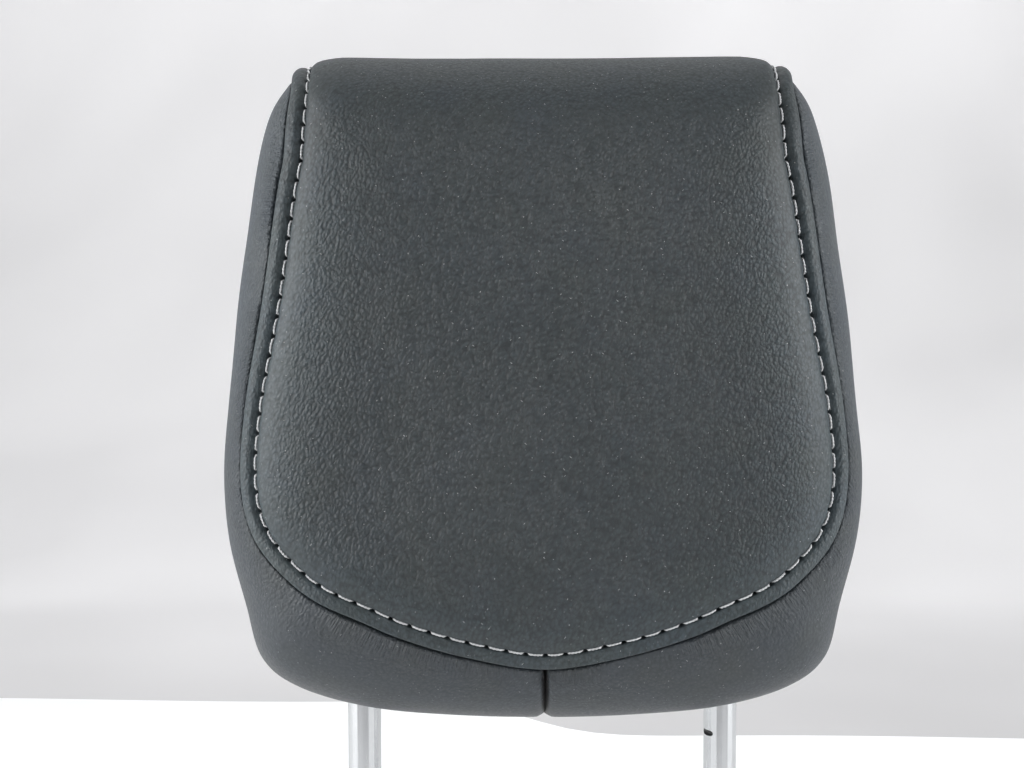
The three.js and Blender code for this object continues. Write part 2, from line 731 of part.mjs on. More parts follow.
// A round bar along the tube path, with its two lower legs given as [height, radius] rings.
const tubeSides = 18;
function tubeBar(legRings, radius, sides = tubeSides) {
  const rings = [];
  const ring = (x, z, angle, r) => Array.from({ length: sides }, (_, k) => {
    const turn = 2 * Math.PI * (k + 0.5) / sides;
    const out = r * Math.cos(turn);
    return [x + out * Math.cos(angle), r * Math.sin(turn), z + out * Math.sin(angle)];
  });
  for (const [z, r] of legRings) rings.push(ring(-postX, z, Math.PI, r));
  for (const { x, z, angle } of tubePath) rings.push(ring(x, z, angle, radius));
  for (const [z, r] of legRings.slice().reverse()) rings.push(ring(postX, z, 0, r));
  const faces = [];
  gridFaces(rings.map((r) => [...r, r[0]]), false, faces);
  const first = rings[0];
  const last = rings[rings.length - 1];
  for (let k = 1; k + 1 < sides; k += 1) {
    faces.push([first[0], first[k], first[k + 1]]);
    faces.push([last[0], last[k + 1], last[k]]);
  }
  const volume = faces.reduce((sum, [a, b, c]) => sum + dot(a, cross(b, c)), 0);
  return solid(facesGeometry(volume < 0 ? faces.map(([a, b, c]) => [a, c, b]) : faces));
}

// Post frame: one bent tube with formed ends and height notches in the right post.
const postEnd = -postBelowSeat;
const tubeOuter = tubeBar([
  [postEnd, endFlatDiameter / 2],
  [postEnd + 0.3 * endTaperLength, (postRadius + endFlatDiameter / 2) / 2 + 0.3],
  [postEnd + endTaperLength, postRadius],
], postRadius);
const tubeInner = tubeBar([
  [postEnd - 1, endHoleDiameter / 2],
  [postEnd + postWall, endHoleDiameter / 2],
  [postEnd + postWall + endTaperLength, postRadius - postWall],
], postRadius - postWall);
let postFrame = tubeOuter.subtract(tubeInner);
for (let i = 0; i < notchCount; i += 1) {
  const radius = (notchHeight / 2) * 1.02;
  const cutter = new THREE.CylinderGeometry(radius, radius, postDiameter, 14);
  cutter.rotateZ(Math.PI / 2);
  cutter.translate(0, -(postRadius - notchDepth + radius), notchTop - i * notchPitch);
  cutter.rotateZ(-THREE.MathUtils.degToRad(notchFacing));
  cutter.translate(postX, 0, 0);
  postFrame = postFrame.subtract(solid(cutter));
}
place('post_frame', postFrame, 0xb9bcbf, 0.3, 1);

// A slab with rounded corners standing in the XZ plane between two depths.
function roundedSlab(width, bottom, top, corner, from, to) {
  const half = width / 2;
  const shape = new THREE.Shape();
  shape.moveTo(-half + corner, bottom);
  shape.lineTo(half - corner, bottom);
  shape.absarc(half - corner, bottom + corner, corner, -Math.PI / 2, 0, false);
  shape.lineTo(half, top - corner);
  shape.absarc(half - corner, top - corner, corner, 0, Math.PI / 2, false);
  shape.lineTo(-half + corner, top);
  shape.absarc(-half + corner, top - corner, corner, Math.PI / 2, Math.PI, false);
  shape.lineTo(-half, bottom + corner);
  shape.absarc(-half + corner, bottom + corner, corner, Math.PI, 1.5 * Math.PI, false);
  const slab = new THREE.ExtrudeGeometry(shape, { depth: to - from, bevelEnabled: false, curveSegments: 4 });
  slab.rotateX(Math.PI / 2);
  slab.translate(0, to, 0);
  return solid(slab);
}

// Carrier shells: two moulded halves round the tube, pocketed, with four screw bosses.
const roomSides = 12;
const roomRadius = (postRadius + fitGap) / Math.cos(Math.PI / roomSides);
const tubeRoom = tubeBar([[carrierBottom - 20, roomRadius]], roomRadius, roomSides);
const screwPlaces = [
  [-screwSpacing / 2, screwLow], [screwSpacing / 2, screwLow],
  [-screwSpacing / 2, screwHigh], [screwSpacing / 2, screwHigh],
];
const headSeatY = carrierRearDepth - screwHeadHeight - fitGap;
const screwTipY = headSeatY - screwLength;
function carrierShell(from, to, pocketFrom, pocketTo) {
  let shell = roundedSlab(carrierWidth, carrierBottom, carrierTop, carrierCorner, from, to);
  let pocket = roundedSlab(pocketWidth, pocketBottom, pocketTop, carrierCorner / 2, pocketFrom, pocketTo);
  for (const [x, z] of screwPlaces) {
    pocket = pocket.subtract(lying(bossDiameter / 2, pocketFrom - 1, pocketTo + 1, x, z));
  }
  shell = shell.subtract(pocket).subtract(tubeRoom);
  for (const [x, z] of screwPlaces) {
    const room = fitGap + 0.05;
    shell = shell.subtract(lying(screwDiameter / 2 + room, screwTipY - fitGap, to + 1, x, z));
    shell = shell.subtract(lying(screwHeadDiameter / 2 + room, headSeatY - fitGap, carrierRearDepth + 1, x, z));
  }
  return shell;
}
const frontShell = carrierShell(-carrierFrontDepth, -fitGap / 2, -carrierFrontDepth + carrierWall, 1);
const rearShell = carrierShell(fitGap / 2, carrierRearDepth, -1, carrierRearDepth - carrierWall);
place('carrier_front_shell', frontShell, 0x2f3133, 0.55, 0);
place('carrier_rear_shell', rearShell, 0x2f3133, 0.55, 0);

// Carrier screws: pan heads with a cross recess, driven from the rear.
screwPlaces.forEach(([x, z], i) => {
  let screw = lying(screwDiameter / 2, screwTipY, headSeatY + 0.5, x, z, 16)
    .add(lying(screwHeadDiameter / 2, headSeatY, headSeatY + screwHeadHeight, x, z, 20));
  for (const [w, h] of [[4.4, 0.9], [0.9, 4.4]]) {
    const slot = new THREE.BoxGeometry(w, 2.4, h);
    slot.translate(x, headSeatY + screwHeadHeight, z);
    screw = screw.subtract(solid(slot));
  }
  place(`carrier_screw_${i + 1}`, screw, 0x8f9295, 0.4, 1);
});

// Post bezels: a neck through the cover into the foam and a flange under the cover.
const bezelBore = upright(postRadius + fitGap + 0.08, 0, bezelFlangeHeight + bezelNeckLength + 1);
for (const [name, x] of [['left_post_bezel', -postX], ['right_post_bezel', postX]]) {
  const bottom = bezelFlangeHeight - bezelFlangeThickness;
  const bezel = upright(bezelFlangeDiameter / 2, bottom + 0.7, bezelFlangeHeight)
    .add(solid(new THREE.CylinderGeometry(bezelFlangeDiameter / 2, bezelFlangeDiameter / 2 - 0.7, 0.7, 24)
      .rotateX(Math.PI / 2).translate(0, 0, bottom + 0.35)))
    .add(upright(bezelNeckDiameter / 2, bezelFlangeHeight - 0.5, bezelFlangeHeight + bezelNeckLength))
    .subtract(bezelBore)
    .translate([x, 0, 0]);
  place(name, bezel, 0x26282a, 0.5, 0);
}

// Foam bun: poured round the carrier, following the inside of the cover, with two bores.
const foamDepth = coverThickness + fitGap + 0.1;
const foamSkin = (rows) => rows.map((row) => row.map((p) => raised(p, -foamDepth)));
const foamFront = foamSkin([...lowPlaces, ...upPlaces.slice(1), ...wrapPlaces.slice(1)]
  .map((length) => rowAcross(length, [0, valleyEnd + 4.6], innerShares)));
const foamSideFront = [...lowPlaces, ...upPlaces.slice(1)].map(seamAt);
foamSideFront[0][0] = 0;
const foamSideRear = [
  ...closurePlaces.slice(0, -1).map(closureAt),
  ...[...wrapPlaces, ...rearPlaces.slice(1)].reverse().map(seamAt),
];
const foamSide = foamSkin(foamSideFront.map((from, k) => rowAround(from, foamSideRear[k], [7.8], 5)));
const foamBack = foamSkin(rearPlaces.slice(0, -1).map((length) => rowAcross(length, [0, valleyEnd + 4.6], innerShares)));
const foamHalf = [];
gridFaces(foamFront, false, foamHalf);
gridFaces(foamSide, true, foamHalf);
gridFaces(foamBack, false, foamHalf);
const foamCross = [foamFront[foamFront.length - 1], foamBack[0]];
bridgeFaces(foamCross[0], foamCross[1], foamHalf);
const foamLine = [closureEnd, ...closurePlaces.slice(0, -1).reverse().map(closureAt)]
  .map((p) => raised(p, -foamDepth));
bridgeFaces(foamBack[foamBack.length - 1], foamLine, foamHalf);
const foamBlank = solid(facesGeometry([...foamHalf, ...mirrorFaces(foamHalf)]));
const carrierRoom = roundedSlab(
  carrierWidth + 2 * fitGap,
  carrierBottom - fitGap,
  carrierTop + fitGap,
  carrierCorner,
  -carrierFrontDepth - fitGap,
  carrierRearDepth + fitGap,
);
const foamBun = foamBlank.subtract(carrierRoom)
  .subtract(postHole)
  .subtract(postHole.mirror([1, 0, 0]));
place('foam_bun', foamBun, 0xd8cfa8, 0.95, 0);

// Closure strips: two hooked strips along the slot in the underside.
const stripEnd = closureEnd[0] - closureTaper - 9;
const stripPlaces = span(-stripEnd, stripEnd, 2 * lowRows - 2);
const hookEdge = closureSlot / 2 - fitGap;
const catchEdge = hookEdge - 0.4;
function closureStrip(section) {
  const rings = stripPlaces.map((x) => {
    const p = closureAt(Math.abs(x));
    const up = skinNormal(p);
    const back = closureAcross(Math.abs(x));
    return section.map(([b, n]) => {
      const q = add(add(p, mul(back, b)), mul(up, n));
      return x < 0 ? mirrored(q) : q;
    });
  });
  const faces = [];
  gridFaces(rings.map((ring) => [...ring, ring[0]]), false, faces);
  const flat = new THREE.Shape(section.map(([b, n]) => new THREE.Vector2(b, n)));
  const caps = THREE.ShapeUtils.triangulateShape(flat.getPoints(), []);
  for (const [a, b, c] of caps) {
    faces.push([rings[0][a], rings[0][b], rings[0][c]]);
    const last = rings[rings.length - 1];
    faces.push([last[a], last[c], last[b]]);
  }
  const volume = faces.reduce((sum, [a, b, c]) => sum + dot(a, cross(b, c)), 0);
  return solid(facesGeometry(volume < 0 ? faces.map(([a, b, c]) => [a, c, b]) : faces));
}
place('closure_hook_strip', closureStrip([
  [hookEdge, 0], [-1.6, 0], [-1.6, -2], [-0.7, -2], [-0.7, -0.9], [hookEdge, -0.9],
]), 0x1f2123, 0.5, 0);
place('closure_catch_strip', closureStrip([
  [-catchEdge, -3.2], [1.6, -3.2], [1.6, -1.2], [0.7, -1.2], [0.7, -2.3], [-catchEdge, -2.3],
]), 0x1f2123, 0.5, 0);

export default group;
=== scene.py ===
import math

import bmesh
import bpy
import numpy as np
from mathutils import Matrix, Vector


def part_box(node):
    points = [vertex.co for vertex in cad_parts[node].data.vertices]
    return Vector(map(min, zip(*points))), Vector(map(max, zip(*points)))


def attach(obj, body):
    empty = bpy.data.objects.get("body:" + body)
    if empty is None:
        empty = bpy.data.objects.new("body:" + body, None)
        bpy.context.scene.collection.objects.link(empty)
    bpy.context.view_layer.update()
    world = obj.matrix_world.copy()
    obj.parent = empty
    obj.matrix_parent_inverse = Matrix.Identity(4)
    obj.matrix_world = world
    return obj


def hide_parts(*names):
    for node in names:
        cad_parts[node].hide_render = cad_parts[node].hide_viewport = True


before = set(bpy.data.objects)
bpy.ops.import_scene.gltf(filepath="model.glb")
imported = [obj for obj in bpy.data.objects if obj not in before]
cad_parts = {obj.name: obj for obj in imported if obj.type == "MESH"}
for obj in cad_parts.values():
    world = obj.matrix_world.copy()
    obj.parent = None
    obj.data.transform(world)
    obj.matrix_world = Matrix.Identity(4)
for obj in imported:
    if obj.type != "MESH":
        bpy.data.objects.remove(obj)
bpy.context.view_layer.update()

# Front panel. One piece of leather backed with thin foam, from under the chin, over the
# top, to a cross seam on the back. Its edge is folded under and stitched down, which
# leaves a raised band round it and a narrow valley where the thread pulls it in.
underside, tall, half_wide = 20.0, 247.0, 119.4
middle_z = underside + tall / 2
split_y = -2.0
front_deep, back_deep = 56.0, 38.0
front_power, back_power, deep_power = 6.0, 4.0, 2.2
cross_drop = 40.0
stitch_inset, stitch_inset_under = 8.5, 5.8
stitch_pitch = 6.9
seam_deep = 3.4

# The cushion's outline from the front, as shares of its half width and height.
outline_shares = np.array([
    (0, 1), (0.377, 0.999), (0.653, 0.996), (0.745, 0.983), (0.788, 0.961), (0.847, 0.913),
    (0.893, 0.823), (0.929, 0.709), (0.96, 0.587), (0.986, 0.474), (1, 0.368), (0.987, 0.271),
    (0.935, 0.174), (0.888, 0.091), (0.77, 0.046), (0.544, 0.017), (0.268, 0.003), (0, 0),
])
# The long seam between the front, side and back panels, as shares of half width, depth
# and height. It runs from under the chin, up the side, over the top and down the back.
seam_shares = np.array([
    (0, -0.939, 0.113), (0.228, -0.964, 0.131), (0.422, -0.982, 0.16),
    (0.549, -0.989, 0.187), (0.744, -0.907, 0.236), (0.862, -0.788, 0.298),
    (0.903, -0.716, 0.377), (0.884, -0.702, 0.491), (0.831, -0.718, 0.635),
    (0.786, -0.673, 0.791), (0.768, -0.638, 0.849), (0.761, -0.47, 0.925),
    (0.765, -0.263, 0.955), (0.78, 0, 0.968), (0.783, 0.29, 0.947), (0.804, 0.51, 0.883),
    (0.838, 0.63, 0.749), (0.888, 0.67, 0.526), (0.905, 0.684, 0.372),
    (0.863, 0.684, 0.223), (0.796, 0.658, 0.113), (0.712, 0.63, 0.057),
])
corner_point, top_point, knot_steps = 4, 13, 60


def smooth_curve(points, before, after, steps):
    """Catmull-Rom curve through points, with one more point at each end to aim at."""
    q = np.vstack([before, points, after])
    t = np.linspace(0, 1, steps, endpoint=False)[:, None]
    parts = []
    for i in range(len(points) - 1):
        a, b, c, d = q[i:i + 4]
        v0, v1 = (c - a) / 2, (d - b) / 2
        cubic = (2 * b - 2 * c + v0 + v1) * t**3
        square = (3 * c - 3 * b - 2 * v0 - v1) * t**2
        parts.append(cubic + square + v0 * t + b)
    parts.append(points[-1:])
    return np.vstack(parts)


outline = outline_shares * [half_wide, tall] + [0, underside]
outline_line = smooth_curve(outline, outline[1] * [-1, 1], outline[-2] * [-1, 1], 120)
outline_angle = np.arctan2(outline_line[:, 0], outline_line[:, 1] - middle_z)
outline_reach = np.hypot(outline_line[:, 0], outline_line[:, 1] - middle_z)


def reach(around):
    """The outline's distance from the middle, in a direction round the y axis."""
    return np.interp(np.abs(around), outline_angle, outline_reach)


def depth(z, front):
    """How far the cushion bulges to the front or the back at a height."""
    s = (z - middle_z) / (tall / 2)
    return np.where(front, front_deep - 6 * s - 4 * s * s, back_deep - 8 * s - 2 * s * s)


def skin_shares(p):
    """Direction round the y axis, shares of the outline and of the depth, and the power."""
    front = p[..., 1] < split_y
    around = np.arctan2(p[..., 0], p[..., 2] - middle_z)
    rho = np.hypot(p[..., 0], p[..., 2] - middle_z) / reach(around)
    w = np.abs(p[..., 1] - split_y) / depth(p[..., 2], front)
    return around, rho, w, np.where(front, front_power, back_power)


def skin_value(p):
    """Below 0 inside the cushion, above 0 outside."""
    _, rho, w, power = skin_shares(p)
    return rho**power + w**deep_power - 1


def skin_normal(p):
    g = np.empty_like(p)
    for axis in range(3):
        step = np.zeros(3)
        step[axis] = 0.4
        g[..., axis] = skin_value(p + step) - skin_value(p - step)
    return g / np.linalg.norm(g, axis=-1, keepdims=True)


def skin_angles(p):
    """The two angles of the skin's point nearest in direction to a point."""
    around, rho, w, power = skin_shares(p)
    over = np.arctan2(rho ** (power / 2), w ** (deep_power / 2))
    return around, np.where(p[..., 1] < split_y, over, np.pi - over)


def skin_point(around, over):
    """The point on the skin at two angles, round the y axis and away from it."""
    front = over < np.pi / 2
    rho = np.abs(np.sin(over)) ** (2 / np.where(front, front_power, back_power))
    r = rho * reach(around)
    z = middle_z + r * np.cos(around)
    y = depth(z, front) * np.abs(np.cos(over)) ** (2 / deep_power)
    return np.stack([r * np.sin(around), split_y + np.where(front, -y, y), z], -1)


def to_skin(p):
    return skin_point(*skin_angles(p))


def along_normal(p, height):
    return p + skin_normal(p) * np.asarray(height)[..., None]


def walk(p, way, distance):
    """Walks over the skin by a distance, in steps of at most 1 mm."""
    steps = max(1, math.ceil(np.max(distance)))
    for _ in range(steps):
        p = to_skin(p + way * (distance / steps))
        n = skin_normal(p)
        way = way - n * (way * n).sum(-1, keepdims=True)
        way = way / np.linalg.norm(way, axis=-1, keepdims=True)
    return p, way


seam_knots = seam_shares.copy()
seam_knots[:, 0] *= half_wide
seam_knots[:, 1] = split_y + seam_shares[:, 1] * np.where(
    seam_shares[:, 1] < 0, front_deep, back_deep)
seam_knots[:, 2] = underside + seam_shares[:, 2] * tall
seam_line = to_skin(smooth_curve(
    seam_knots, seam_knots[1] * [-1, 1, 1], 2 * seam_knots[-1] - seam_knots[-2], knot_steps))
seam_run = np.r_[0, np.cumsum(np.linalg.norm(np.diff(seam_line, axis=0), axis=1))]
seam_corner, seam_top = seam_run[corner_point * knot_steps], seam_run[top_point * knot_steps]
seam_cross, seam_total = seam_top + cross_drop, seam_run[-1]


def seam_at(run):
    """Points on the long seam's right half, at distances along it."""
    run = np.abs(run)
    return to_skin(np.stack([np.interp(run, seam_run, seam_line[:, k]) for k in range(3)], -1))


def seam_inward(run):
    """Direction on the skin from the long seam to the front or back panel."""
    ahead, behind = seam_at(np.minimum(run + 1.5, seam_total)), seam_at(run - 1.5)
    behind = np.where((run < 1.5)[:, None], behind * [-1, 1, 1], behind)
    way = ahead - behind
    way[run == 0] = [1, 0, 0]
    inward = np.cross(skin_normal(seam_at(run)), way)
    return inward / np.linalg.norm(inward, axis=-1, keepdims=True)


def seam_nearest(p):
    """Distance of points on the right half from the long seam, and the run along it there."""
    a, ab, run = seam_line[:-1:6], np.diff(seam_line[::6], axis=0), seam_run[::6]
    flat = p.reshape(-1, 3)
    best, place = np.empty(len(flat)), np.empty(len(flat))
    for start in range(0, len(flat), 2000):
        q = flat[start:start + 2000, None, :]
        t = np.clip(((q - a) * ab).sum(-1) / (ab * ab).sum(-1), 0, 1)
        gap = np.linalg.norm(q - a - ab * t[..., None], axis=-1)
        pick = gap.argmin(1)
        rows = np.arange(len(pick))
        best[start:start + 2000] = gap[rows, pick]
        place[start:start + 2000] = run[pick] + t[rows, pick] * (run[pick + 1] - run[pick])
    return best.reshape(p.shape[:-1]), place.reshape(p.shape[:-1])


def round_corner(run):
    """0 under the chin, 1 up the sides."""
    t = np.clip((run / seam_corner - 0.75) / 0.75, 0, 1)
    return t * t * (3 - 2 * t)


def band_share(run):
    """Width of the stitched band beside the seam, as a share of its full width."""
    gain = (stitch_inset - stitch_inset_under) * round_corner(run)
    return (stitch_inset_under + gain) / stitch_inset


def rows_across(run, rings, shares, widen=1.0):
    """Rows of points from the long seam to the middle line, at distances, then shares."""
    p, way = seam_at(run), seam_inward(run)
    widen = np.broadcast_to(widen, run.shape)[:, None]
    columns, walked = [], 0.0
    for ring in rings:
        if ring > walked:
            p, way = walk(p, way, (ring - walked) * widen)
            walked = ring
        columns.append(np.where((run == 0)[:, None], p * [0, 1, 1], p))
    raise_by = 14 * np.sin(np.pi * np.minimum(1, run / (1.7 * seam_corner)))
    for share in shares:
        bowed = p[:, 2] + raise_by * share * (2 - share)
        columns.append(to_skin(np.stack([p[:, 0] * (1 - share), p[:, 1], bowed], -1)))
    return np.stack(columns, 1)


def rounded_profile(points, blur):
    """A profile of [place, height] points with its corners rounded off."""
    place = np.arange(-5, 90, 0.05)
    height = np.interp(place, *np.array(points, float).T)
    soft = np.exp(-0.5 * (np.arange(-60, 61) * 0.05 / blur) ** 2)
    height = np.convolve(np.pad(height, 60, "edge"), soft / soft.sum(), "valid")

    def height_at(distance):
        return np.interp(distance, place, height)

    return height_at


def wander(p, size, seed):
    """Slow uneven swell of leather over foam, the same in every run."""
    rng = np.random.default_rng(seed)
    total = np.zeros(p.shape[:-1])
    for _ in range(9):
        way = rng.normal(size=3)
        way /= np.linalg.norm(way) * size * rng.uniform(0.6, 1.5)
        total += np.sin(p @ way * 2 * np.pi + rng.uniform(0, 6.3)) / 3
    return total


def leather_sheet(name, rows, flip=False, keep=None, marks=None):
    """A smooth mesh from a grid of points in millimetres, with a value per point per mark."""
    tall_count, wide_count = rows.shape[:2]
    index = np.arange(tall_count * wide_count).reshape(tall_count, wide_count)
    quads = np.stack([index[:-1, :-1], index[1:, :-1], index[1:, 1:], index[:-1, 1:]], -1)
    quads = quads.reshape(-1, 4)
    if keep is not None:
        quads = quads[keep(rows.reshape(-1, 3)[quads].mean(1))]
    if flip:
        quads = quads[:, ::-1]
    mesh = bpy.data.meshes.new(name)
    mesh.from_pydata((rows.reshape(-1, 3) * 0.001).tolist(), [], quads.tolist())
    for mark, values in (marks or {}).items():
        layer = mesh.attributes.new(mark, "FLOAT", "POINT")
        layer.data.foreach_set("value", np.ascontiguousarray(values, dtype=np.float32).ravel())
    piece = bpy.data.objects.new(name, mesh)
    bpy.context.scene.collection.objects.link(piece)
    work = bmesh.new()
    work.from_mesh(mesh)
    bmesh.ops.remove_doubles(work, verts=work.verts, dist=2e-6)
    bmesh.ops.delete(work, geom=[v for v in work.verts if not v.link_faces], context="VERTS")
    work.to_mesh(mesh)
    work.free()
    mesh.polygons.foreach_set("use_smooth", [True] * len(mesh.polygons))
    return piece


# A row of points starts every 0.6 mm along the seam. The rings of points round the panel
# lie closest together beside the seam and at the groove.
front_run = np.r_[
    np.arange(0, seam_cross - 5, 0.6), np.linspace(seam_cross - 5, seam_cross - 0.12, 12)]
front_rings = np.r_[
    0.12, 0.14, 0.3, 0.55, 0.85, 1.2, 1.6, 2.1, 2.7, 3.4, 4.2, 5.0, 5.7, 6.3, 6.8, 7.2, 7.55,
    7.85, 8.15, 8.5, 8.85, 9.15, 9.45, 9.8, 10.2, 10.7, 11.3, 12, 13, 14]
front_shares = np.linspace(0, 1, 33)[1:]
front_rows = rows_across(front_run, front_rings, front_shares, band_share(front_run))
front_distance, front_near = seam_nearest(front_rows)
front_distance = front_distance / band_share(front_near)
# Height of the leather by distance from the seam: up the sides the folded edge stands as
# a round band, under the chin it lies nearly flat. Both dip where the thread runs.
band_profile = rounded_profile([
    (0, -seam_deep), (0.3, -1.9), (0.7, -0.6), (1.4, 0.45), (2.6, 1.1), (4.2, 1.35), (5.6, 1.15),
    (6.8, 0.5), (7.7, -0.6), (8.5, -1.25), (9.3, -0.7), (10.2, 0), (11.6, 0.55),
    (14, 0.95), (20, 1.25), (32, 0.8), (46, 0.35), (64, 0)], 0.2)
chin_profile = rounded_profile([
    (0, -seam_deep), (0.2, -1.3), (0.45, 0.0), (0.9, 0.55), (1.7, 0.78), (2.8, 0.66), (5.0, 0.42),
    (7.3, 0.2), (8.0, -0.3), (8.5, -0.85), (9.0, -0.3), (9.8, 0.2), (11.4, 0.55),
    (14, 0.95), (20, 1.25), (32, 0.8), (46, 0.35), (64, 0)], 0.2)
stitch_line = rows_across(front_run, [stitch_inset], [], band_share(front_run))[:, 0]
stitch_run = np.r_[0, np.cumsum(np.linalg.norm(np.diff(stitch_line, axis=0), axis=1))]
beat = stitch_run / stitch_pitch
to_hole = (beat - np.round(beat)) * stitch_pitch
aside = front_distance - stitch_inset
needle_hole = np.exp(-(to_hole[:, None] / 0.8) ** 4 - (aside / 0.75) ** 4)
pull = np.exp(-(to_hole[:, None] / 1.7) ** 2 - (aside / 2.0) ** 2)
pucker = -1.7 * needle_hole - 0.35 * pull
cross_profile = rounded_profile([(0, -3.2), (0.5, -1.3), (1.4, -0.5), (3.4, 0)], 0.2)
front_height = chin_profile(front_distance)
front_height += (band_profile(front_distance) - front_height) * round_corner(front_near)
front_height += pucker
cross_dip = cross_profile(seam_cross - front_run)[:, None]
front_height += cross_dip * (1 + np.maximum(front_height, 0) / 3.2)
front_height = np.maximum(front_height, -seam_deep)


def both_halves(rows, heights):
    """Lifts the right half off the skin and joins it to its mirror image."""
    lifted = along_normal(rows, heights)
    return np.concatenate([lifted, (lifted * [-1, 1, 1])[:, -2::-1]], 1)


def mirrored(grid):
    """Values of the right half, joined to the same values for the left half."""
    return np.concatenate([grid, grid[:, -2::-1]], 1)


front_points = both_halves(front_rows, front_height)
swell = np.clip(mirrored(front_distance) / 20, 0.15, 1)
front_points = along_normal(front_points, 0.22 * wander(front_points, 55, 3) * swell)
# Painted shade: deep in the seam, the valley and the needle holes, the crease mark darkens the colour
# nearly to black.
painted_crease_shade = np.clip((-front_height - 1.15) / 1.2, 0, 1)
front_leather = leather_sheet("front_leather", front_points, marks={
    "painted_crease_shade": mirrored(painted_crease_shade), "from_seam": mirrored(front_distance)})


class Wire:
    """One value or colour in a material; sums and products on it add Math nodes."""

    def __init__(self, finish, socket):
        self.finish, self.socket = finish, socket

    def other(self, out):
        """Another output of the same node."""
        return Wire(self.finish, self.socket.node.outputs[out])

    def _with(self, operation, first, second):
        return self.finish.node("Math", {"operation": operation}, {0: first, 1: second})

    def __add__(self, other):
        return self._with("ADD", self, other)

    __radd__ = __add__

    def __mul__(self, other):
        return self._with("MULTIPLY", self, other)

    __rmul__ = __mul__

    def __sub__(self, other):
        return self._with("SUBTRACT", self, other)

    def __rsub__(self, other):
        return self._with("SUBTRACT", other, self)

    def __gt__(self, other):
        return self._with("GREATER_THAN", self, other)

    def __lt__(self, other):
        return self._with("LESS_THAN", self, other)


class Finish:
    """A material put together from nodes."""

    def __init__(self, name):
        self.material = bpy.data.materials.new(name)
        self.material.use_nodes = True
        self.tree = self.material.node_tree
        self.tree.nodes.clear()

    def node(self, kind, settings, sockets, out=0):
        """One node, with its settings, its sockets' values or links, and the output to use."""
        made = self.tree.nodes.new("ShaderNode" + kind)
        for key, value in settings.items():
            setattr(made, key, value)
        for key, value in sockets.items():
            if isinstance(value, Wire):
                self.tree.links.new(value.socket, made.inputs[key])
            else:
                made.inputs[key].default_value = value
        return Wire(self, made.outputs[out]) if len(made.outputs) else None

    def place(self, scale=(1, 1, 1), turn=(0, 0, 0)):
        """Where a point lies on axes that are turned, then stretched by scale."""
        point = self.node("TexCoord", {}, {}, out="Object")
        return self.node("Mapping", {"vector_type": "TEXTURE"}, {
            "Vector": point, "Rotation": turn, "Scale": scale})

    def level(self, where, axis="Z"):
        """One coordinate of a place."""
        return self.node("SeparateXYZ", {}, {"Vector": where}, out=axis)

    def ramp(self, value, start, end, low=0.0, high=1.0, ease="LINEAR"):
        """Runs from low to high while value runs from start to end."""
        return self.node("MapRange", {"interpolation_type": ease}, {
            "Value": value, "From Min": start, "From Max": end, "To Min": low, "To Max": high})

    def scaled(self, vector, factor):
        return self.node("VectorMath", {"operation": "SCALE"}, {0: vector, "Scale": factor})

    def noise(self, where, scale, detail=3, rough=0.5):
        return self.node("TexNoise", {}, {
            "Vector": where, "Scale": scale, "Detail": detail, "Roughness": rough})

    def colours(self, factor, first, second):
        pair = [c if isinstance(c, Wire) else (*c, 1) for c in (first, second)]
        return self.node("Mix", {"data_type": "RGBA"}, {0: factor, 6: pair[0], 7: pair[1]}, out=2)

    def bump(self, height, distance, strength=1.0):
        return self.node("Bump", {}, {"Height": height, "Distance": distance, "Strength": strength})

    def surface(self, **named):
        """The finished material, from the Principled shader's sockets by name."""
        sockets = {key.replace("_", " "): value for key, value in named.items()}
        shader = self.node("BsdfPrincipled", {}, sockets)
        self.node("OutputMaterial", {}, {"Surface": shader})
        return self.material


